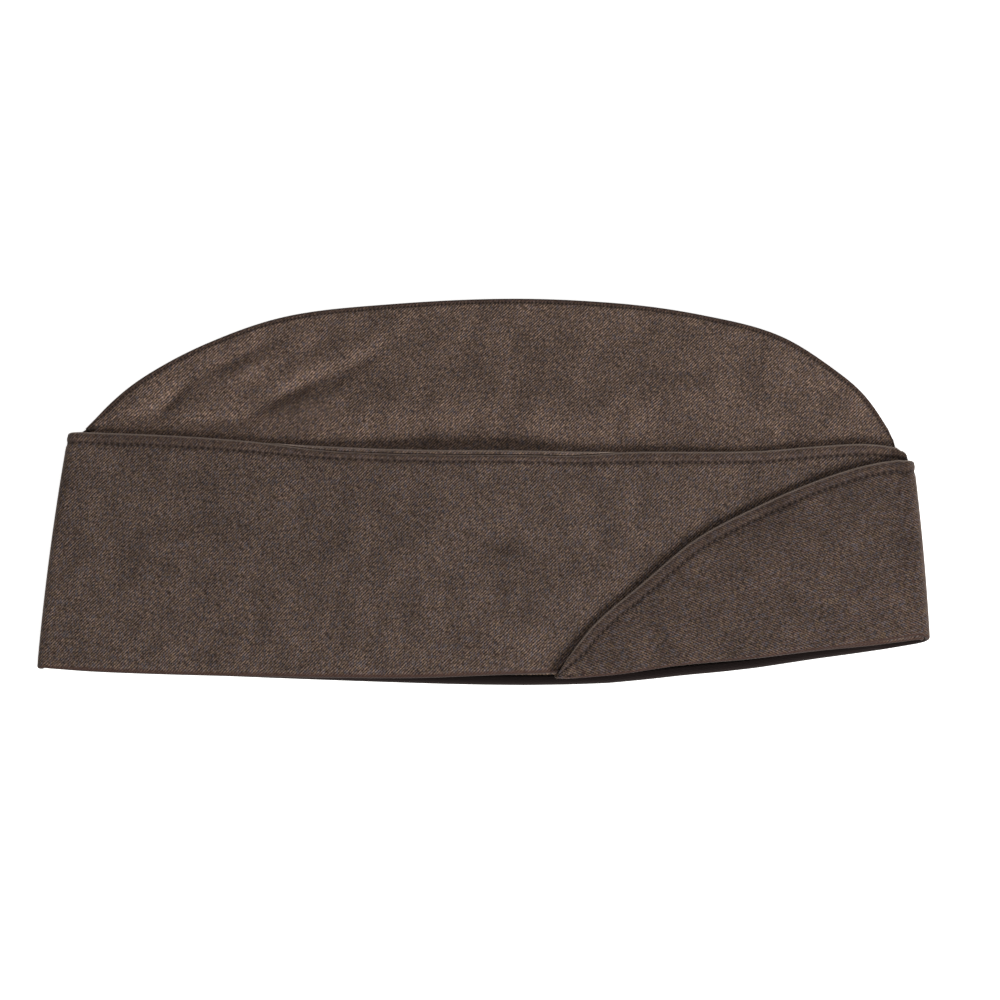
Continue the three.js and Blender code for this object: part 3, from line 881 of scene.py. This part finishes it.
def stitch_row(name, sheet_points, seams, columns, pitch, size):
    """Beads of a size (length, width, sink) on a sheet's stitch line, between two of its columns."""
    length, width, sink = size
    count = len(sheet_points)
    line_rows = np.abs(seams).argmin(axis=1)
    line = [Vector(sheet_points[i, line_rows[i]]) for i in range(count)]
    ups = []
    for i in range(count):
        ahead = line[min(i + 1, count - 1)] - line[max(i - 1, 0)]
        across = Vector(sheet_points[i, line_rows[i] + 1] - sheet_points[i, line_rows[i] - 1])
        ups.append(ahead.cross(across).normalized())
    reach = np.concatenate([[0], np.cumsum([(b - a).length for a, b in zip(line, line[1:])])])
    bm = bmesh.new()
    beads = 0
    for place in np.arange(pitch / 2, reach[-1], pitch):
        if not reach[columns[0]] < place < reach[columns[1]]:
            continue
        i = int(np.searchsorted(reach, place)) - 1
        share = float((place - reach[i]) / (reach[i + 1] - reach[i]))
        way = (line[i + 1] - line[i]).normalized()
        up = ups[i].lerp(ups[i + 1], share).normalized()
        side = up.cross(way).normalized()
        bead = Matrix((way * length / 2, side * width / 2, up * width / 2)).transposed().to_4x4()
        bead.translation = line[i].lerp(line[i + 1], share) + up * (width / 2 - sink)
        bmesh.ops.create_uvsphere(bm, u_segments=BEAD_SEGMENTS, v_segments=BEAD_RINGS, radius=1, matrix=bead)
        beads += 1
    for face in bm.faces:
        face.smooth = True
    row_piece = object_from(name, bm)
    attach(row_piece, "root")
    print(name, "has", beads, "stitches")
    return row_piece


CURTAIN_PITCH = 2.12 * MM
RIDGE_PITCH = 1.25 * MM
CURTAIN_BEAD = (1.55 * MM, 0.42 * MM, 0.28 * MM)
RIDGE_BEAD = (0.95 * MM, 0.34 * MM, 0.24 * MM)
right_hem_stitches = stitch_row(
    "right_hem_stitches", right_face_points, right_face_seams, (1, len(right_stations) - 3),
    CURTAIN_PITCH, CURTAIN_BEAD,
)
left_hem_stitches = stitch_row(
    "left_hem_stitches", left_face_points, left_face_seams, (4, len(left_stations) - 1),
    CURTAIN_PITCH, CURTAIN_BEAD,
)
right_ridge_stitches = stitch_row(
    "right_ridge_stitches", right_crown_points, right_crown_seams, (1, CROWN_STEPS),
    RIDGE_PITCH, RIDGE_BEAD,
)
left_ridge_stitches = stitch_row(
    "left_ridge_stitches", left_crown_points, left_crown_seams, (1, CROWN_STEPS),
    RIDGE_PITCH, RIDGE_BEAD,
)
stitch_rows = [right_hem_stitches, left_hem_stitches, right_ridge_stitches, left_ridge_stitches]

# %% [markdown]
# ## Nodes and colours
# Every material below is a small tree of nodes. One function adds a node, sets its properties, and fills
# or links its inputs. Colours are written as they look on a screen, and one function turns them to the
# linear values that shaders use.


# %% Add a node, start a material and turn a colour linear
def add_node(tree, kind, settings, inputs):
    """A new node. Each input, by name or number, gets a value or is linked to another node's output."""
    node = tree.nodes.new(kind)
    for title, value in settings.items():
        setattr(node, title, value)
    for key, value in inputs.items():
        if isinstance(value, bpy.types.NodeSocket):
            tree.links.new(value, node.inputs[key])
        else:
            node.inputs[key].default_value = value
    return node


def empty_material(name):
    """A new material with an empty tree of nodes."""
    material = bpy.data.materials.new(name)
    material.use_nodes = True
    material.node_tree.nodes.clear()
    return material


def linear(colour):
    """An sRGB hex colour as four linear values."""
    parts = [int(colour[i:i + 2], 16) / 255 for i in (1, 3, 5)]
    return [p / 12.92 if p <= 0.04045 else ((p + 0.055) / 1.055) ** 2.4 for p in parts] + [1.0]


print("a mid brown is", [round(value, 3) for value in linear("#58493f")])

# %% [markdown]
# ## The cloth's finish
# The cap is worsted twill: smooth combed wool, woven so that each thread passes over the next ones one
# step along, which draws fine diagonal cords. The wool was dyed before it was spun, so its yarn is a
# melange, and flecks of blue-grey, ochre and reddish brown show in the brown. The real cords are about
# 0.55 mm apart. They are drawn at 0.72 mm, because finer ones are lost between the render's pixels. The
# finish is worked out in three lists: noises laid on the flat map, sums made from them, and coats laid
# over the yarn one after the other, which are dyes and also painted light and shade.

# %% Measure the twill
CORD_PITCH = 0.72 * MM
FLOAT_LENGTH = 0.8 * MM
FLECK = 0.5 * MM
YARN_RUN = 1.2 * MM
THREAD_RUN = 2.6 * MM
SWAY = 7 * MM
CLOUD = (9 * MM, 14 * MM)
FUZZ = 0.5 * MM
HOLE_RADIUS = 0.5 * MM
BAND_RISE = 0.8 * MM
WEAVE_RELIEF = 0.12 * MM

# A noise's name, its turn from the cords in degrees, its width and length, and its detail
CLOTH_NOISES = [
    ("yarn", 90, FLECK, YARN_RUN, 3.0),
    ("warp", 45, FLECK, THREAD_RUN, 2.0),
    ("weft", 135, FLECK, THREAD_RUN, 2.0),
    ("sway", 45, SWAY, SWAY, 1.0),
    ("cloud", 60, *CLOUD, 2.0),
    ("fuzz", 0, FUZZ, FUZZ, 4.0),
]

# A sum's name, its operation and its terms, which are numbers or the names of earlier values
CLOTH_SUMS = [
    ("phase", "MULTIPLY_ADD", "sway", 0.64, "across"),
    ("cord", "MULTIPLY", "phase", 2 * math.pi),
    ("cord", "SINE", "cord"),
    ("weave", "MULTIPLY_ADD", "cord", 0.5, 0.5),
    ("float", "MULTIPLY", "run", 2 * math.pi),
    ("float", "SINE", "float"),
    ("weave", "MULTIPLY_ADD", "float", 0.12, "weave"),
    ("blue", "MULTIPLY_ADD", "warp", 5.0, -2.6),
    ("blue", "MINIMUM", "blue", 0.4),
    ("ochre", "MULTIPLY_ADD", "weft", 5.0, -2.7),
    ("ochre", "MINIMUM", "ochre", 0.36),
    ("rust", "MULTIPLY_ADD", "weft", -5.0, 2.2),
    ("rust", "MINIMUM", "rust", 0.3),
    ("groove", "MULTIPLY_ADD", "weave", 0.9, 0.4),
    ("patch", "MULTIPLY_ADD", "cloud", 0.85, 0.53),
    ("shade", "MULTIPLY", "groove", "patch"),
    # painted shade on the hem and on the ridge's band, between a row of stitches and its edge
    ("hem_shade", "DIVIDE", "seam", -BAND_RISE),
    ("hem_shade", "MAXIMUM", "hem_shade", 0.0),
    ("hem_shade", "MINIMUM", "hem_shade", 0.34),
    # a tone above zero paints edges lighter, partly as wear and partly as a painted highlight
    ("worn_and_lit", "MULTIPLY", "tone", 0.85),
    # a tone below zero is painted shade, reddish first: on the mouth's roll, the ridge's edge and the gusset
    ("reddish_shade", "MULTIPLY", "tone", -3.5),
    ("reddish_shade", "MINIMUM", "reddish_shade", 0.75),
    # deeper painted shade where the tone is below zero, darkest inside the mouth
    ("deep_shade", "MULTIPLY", "tone", -1.9),
    ("deep_shade", "MINIMUM", "deep_shade", 0.99),
    ("far", "DIVIDE", "seam", HOLE_RADIUS),
    ("near", "MULTIPLY", "far", "far"),
    ("near", "MULTIPLY", "near", -1.0),
    ("near", "EXPONENT", "near"),
    ("hole", "COSINE", "stitches"),
    ("hole", "MULTIPLY_ADD", "hole", 0.4, 0.6),
    ("hole", "MULTIPLY", "hole", "near"),
    ("relief", "MULTIPLY_ADD", "fuzz", 0.4, "weave"),
    ("relief", "MULTIPLY_ADD", "hole", -1.5, "relief"),
]

# A coat's strength, its way of mixing, and its colour: the flecks of the melange, the shade between the
# cords and in large soft patches, painted shade between a row of stitches and its edge, edges painted
# lighter, partly as wear and partly as a painted highlight, reddish and then deep painted shade where the
# tone is below zero, darkest inside the mouth, and the needle holes
CLOTH_DYES_AND_PAINTED_LIGHT = [
    ("blue", "MIX", "#555763"),
    ("ochre", "MIX", "#6f5a42"),
    ("rust", "MIX", "#5b3f36"),
    (1.0, "MULTIPLY", "shade"),
    # painted shade between a row of stitches and its edge
    ("hem_shade", "MIX", "#2e211b"),
    # edges painted lighter, partly as wear and partly as a painted highlight
    ("worn_and_lit", "MIX", "#97877c"),
    # reddish painted shade
    ("reddish_shade", "MIX", "#3d241b"),
    # deep painted shade
    ("deep_shade", "MIX", "#0d0302"),
    ("hole", "MIX", "#1d1411"),
]
print(len(CLOTH_NOISES), "noises,", len(CLOTH_SUMS), "sums and", len(CLOTH_DYES_AND_PAINTED_LIGHT), "dyes and painted shades")

# %% [markdown]
# The three pieces are cut from one cloth. Their base colours differ as painted light and shade: the crown is
# painted lighter and the overlap darker. Their cords lie differently too. The overlap is cut along another
# direction of the cloth, so its cords slope the other way.

# %% Weave the three cloths
DARK_YARN = 0.3
LIGHT_YARN = 2.4


def worsted_twill(name, base, cord_angle, hole_pitch):
    """The cap's cloth: its base colour, the cords' angle on the flat map, and the needle holes' pitch."""
    material = empty_material(name)
    tree = material.node_tree
    flat = add_node(tree, "ShaderNodeUVMap", {"uv_map": "cloth"}, {}).outputs[0]
    values = {}
    for title in ("tone", "seam", "along"):
        values[title] = add_node(tree, "ShaderNodeAttribute", {"attribute_name": title}, {}).outputs["Fac"]

    # A mapping of the kind TEXTURE turns the flat map first and then divides it by the size of a fleck
    for title, turn, width, length, detail in CLOTH_NOISES:
        turned = (0, 0, math.radians(cord_angle - turn))
        lie = {"Vector": flat, "Rotation": turned, "Scale": (width, length, 1)}
        laid = add_node(tree, "ShaderNodeMapping", {"vector_type": "TEXTURE"}, lie).outputs[0]
        grain = {"Vector": laid, "Scale": 1.0, "Detail": detail, "Roughness": 0.65}
        values[title] = add_node(tree, "ShaderNodeTexNoise", {"noise_dimensions": "2D"}, grain).outputs["Fac"]

    # The cords: across runs over them and run goes along them, each counted in whole cords or floats
    turned = (0, 0, math.radians(cord_angle - 90))
    lie = {"Vector": flat, "Rotation": turned, "Scale": (CORD_PITCH, FLOAT_LENGTH, 1)}
    laid = add_node(tree, "ShaderNodeMapping", {"vector_type": "TEXTURE"}, lie).outputs[0]
    ways = add_node(tree, "ShaderNodeSeparateXYZ", {}, {0: laid}).outputs
    values["across"], values["run"] = ways[0], ways[1]

    # The needle holes come round once in each stitch
    sums = [("stitches", "MULTIPLY", "along", 2 * math.pi / hole_pitch), *CLOTH_SUMS]
    for title, operation, *terms in sums:
        inputs = {place: values.get(term, term) for place, term in enumerate(terms)}
        values[title] = add_node(tree, "ShaderNodeMath", {"operation": operation}, inputs).outputs[0]

    ramp = add_node(tree, "ShaderNodeValToRGB", {}, {"Fac": values["yarn"]})
    stops = ramp.color_ramp.elements
    yarn = linear(base)
    stops[0].position, stops[0].color = 0.36, [part * DARK_YARN for part in yarn[:3]] + [1.0]
    stops[1].position, stops[1].color = 0.66, [part * LIGHT_YARN for part in yarn[:3]] + [1.0]
    stops.new(0.5).color = yarn
    colour = ramp.outputs[0]
    for share, blend, coat in CLOTH_DYES_AND_PAINTED_LIGHT:
        tint = values[coat] if coat in values else linear(coat)
        settings = {"data_type": "RGBA", "blend_type": blend}
        inputs = {0: values.get(share, share), 6: colour, 7: tint}
        colour = add_node(tree, "ShaderNodeMix", settings, inputs).outputs[2]

    relief = {"Height": values["relief"], "Strength": 0.5, "Distance": WEAVE_RELIEF}
    surface = {
        "Base Color": colour, "Normal": add_node(tree, "ShaderNodeBump", {}, relief).outputs[0],
        "Roughness": 0.9, "IOR": 1.45, "Specular IOR Level": 0.25,
        "Sheen Weight": 0.18, "Sheen Roughness": 0.45, "Sheen Tint": linear("#b8a79c"),
    }
    shader = add_node(tree, "ShaderNodeBsdfPrincipled", {}, surface)
    add_node(tree, "ShaderNodeOutputMaterial", {}, {"Surface": shader.outputs[0]})
    return material


CORD_ANGLE = 45
OVERLAP_CORD_ANGLE = -25
# one cloth: the crown's base is painted lighter and the overlap's darker, as painted light and shade
crown_twill = worsted_twill("worsted twill of the crown", "#604e43", CORD_ANGLE, RIDGE_PITCH)
curtain_twill = worsted_twill("worsted twill of the curtain", "#504138", CORD_ANGLE, CURTAIN_PITCH)
overlap_twill = worsted_twill("worsted twill of the overlap", "#43352d", OVERLAP_CORD_ANGLE, CURTAIN_PITCH)
print("cloths woven:", [cloth.name for cloth in (crown_twill, curtain_twill, overlap_twill)])

# %% [markdown]
# The thread is brown cotton, spun from two strands. Its twist is too fine to see from here, so a soft
# mottle stands for it.

# %% Spin the thread
THREAD_MOTTLE = 0.25 * MM
THREAD_RELIEF = 0.05 * MM


def cotton_thread(name, dark, light):
    """A brown thread, mottled between a dark and a light colour."""
    material = empty_material(name)
    tree = material.node_tree
    place = add_node(tree, "ShaderNodeTexCoord", {}, {}).outputs["Object"]
    mottle = {"Vector": place, "Scale": 1 / THREAD_MOTTLE, "Detail": 2.0}
    twist = add_node(tree, "ShaderNodeTexNoise", {}, mottle).outputs["Fac"]
    ramp = add_node(tree, "ShaderNodeValToRGB", {}, {"Fac": twist})
    stops = ramp.color_ramp.elements
    stops[0].position, stops[0].color = 0.35, linear(dark)
    stops[1].position, stops[1].color = 0.65, linear(light)
    bump = add_node(tree, "ShaderNodeBump", {}, {"Height": twist, "Strength": 0.4, "Distance": THREAD_RELIEF})
    surface = {
        "Base Color": ramp.outputs[0], "Normal": bump.outputs[0], "Roughness": 0.75, "IOR": 1.5,
        "Specular IOR Level": 0.3,
    }
    shader = add_node(tree, "ShaderNodeBsdfPrincipled", {}, surface)
    add_node(tree, "ShaderNodeOutputMaterial", {}, {"Surface": shader.outputs[0]})
    return material


thread = cotton_thread("brown cotton thread", "#211713", "#554338")

# %% [markdown]
# ## Dressing the pieces
# Each sheet gets its cloth, and the size that it was cut to is printed. The flat map is in metres, so the
# cut size is read from it.

sheets = [
    (right_face, curtain_twill, "curtain_cloth", [right_hem_stitches]),
    (right_facing, curtain_twill, "curtain_cloth", []),
    (left_face, overlap_twill, "curtain_cloth", [left_hem_stitches]),
    (left_facing, overlap_twill, "curtain_cloth", []),
    (right_crown, crown_twill, "crown_cloth", [right_ridge_stitches]),
    (left_crown, crown_twill, "crown_cloth", [left_ridge_stitches]),
    (gusset, crown_twill, "crown_cloth", []),
]
for sheet, twill, slot, seam_rows in sheets:
    size, area = flat_size(sheet)
    sheet.data.materials.append(twill)
    print(sheet.name, "is cut", [round(side / MM) for side in size], "mm,", round(area * 1e4), "cm2")
for row_piece in stitch_rows:
    row_piece.data.materials.append(thread)

# %% [markdown]
# ## The studio
# The photograph's ground is pure white and its light is soft. A large lamp stands low past the mouth and
# a little to the front, so that what slopes towards the ridge comes out darker, a white sky fills the
# shadows, and the paper is lit from below, as on a light table, so that the cap throws hardly any shadow
# on it.

# %% Light the cap
FLOOR_SIZE = 3.0
FLOOR_DROP = 0.15 * MM
PAPER_GLOW = 0.75
SKY_STRENGTH = 0.32
bm = bmesh.new()
bmesh.ops.create_grid(bm, x_segments=1, y_segments=1, size=FLOOR_SIZE / 2)
bmesh.ops.translate(bm, verts=bm.verts, vec=(0, 0, -FLOOR_DROP))
floor = object_from("floor", bm)
paper = empty_material("white paper")
paper_surface = {
    "Base Color": linear("#f4f3f1"), "Roughness": 0.9,
    "Emission Color": linear("#ffffff"), "Emission Strength": PAPER_GLOW,
}
paper_shader = add_node(paper.node_tree, "ShaderNodeBsdfPrincipled", {}, paper_surface)
add_node(paper.node_tree, "ShaderNodeOutputMaterial", {}, {"Surface": paper_shader.outputs[0]})
floor.data.materials.append(paper)


def lamp(name, place, size, power):
    """A square soft lamp that looks at the cap."""
    data = bpy.data.lights.new(name, "AREA")
    data.size = size
    data.energy = power
    light = bpy.data.objects.new(name, data)
    light.location = place
    light.rotation_mode = "QUATERNION"
    light.rotation_quaternion = (-Vector(place)).to_track_quat("-Z", "Y")
    bpy.context.scene.collection.objects.link(light)


lamp("mouth side lamp", (0.45, -0.76, 0.52), 0.45, 14.0)
lamp("overhead lamp", (0.1, -0.1, 1.1), 0.9, 1.2)
world = bpy.data.worlds.new("white sky")
world.use_nodes = True
world.node_tree.nodes["Background"].inputs[0].default_value = linear("#ffffff")
world.node_tree.nodes["Background"].inputs[1].default_value = SKY_STRENGTH
bpy.context.scene.world = world
bpy.context.scene.view_settings.view_transform = "Standard"
print("lamps:", len(bpy.data.lights))
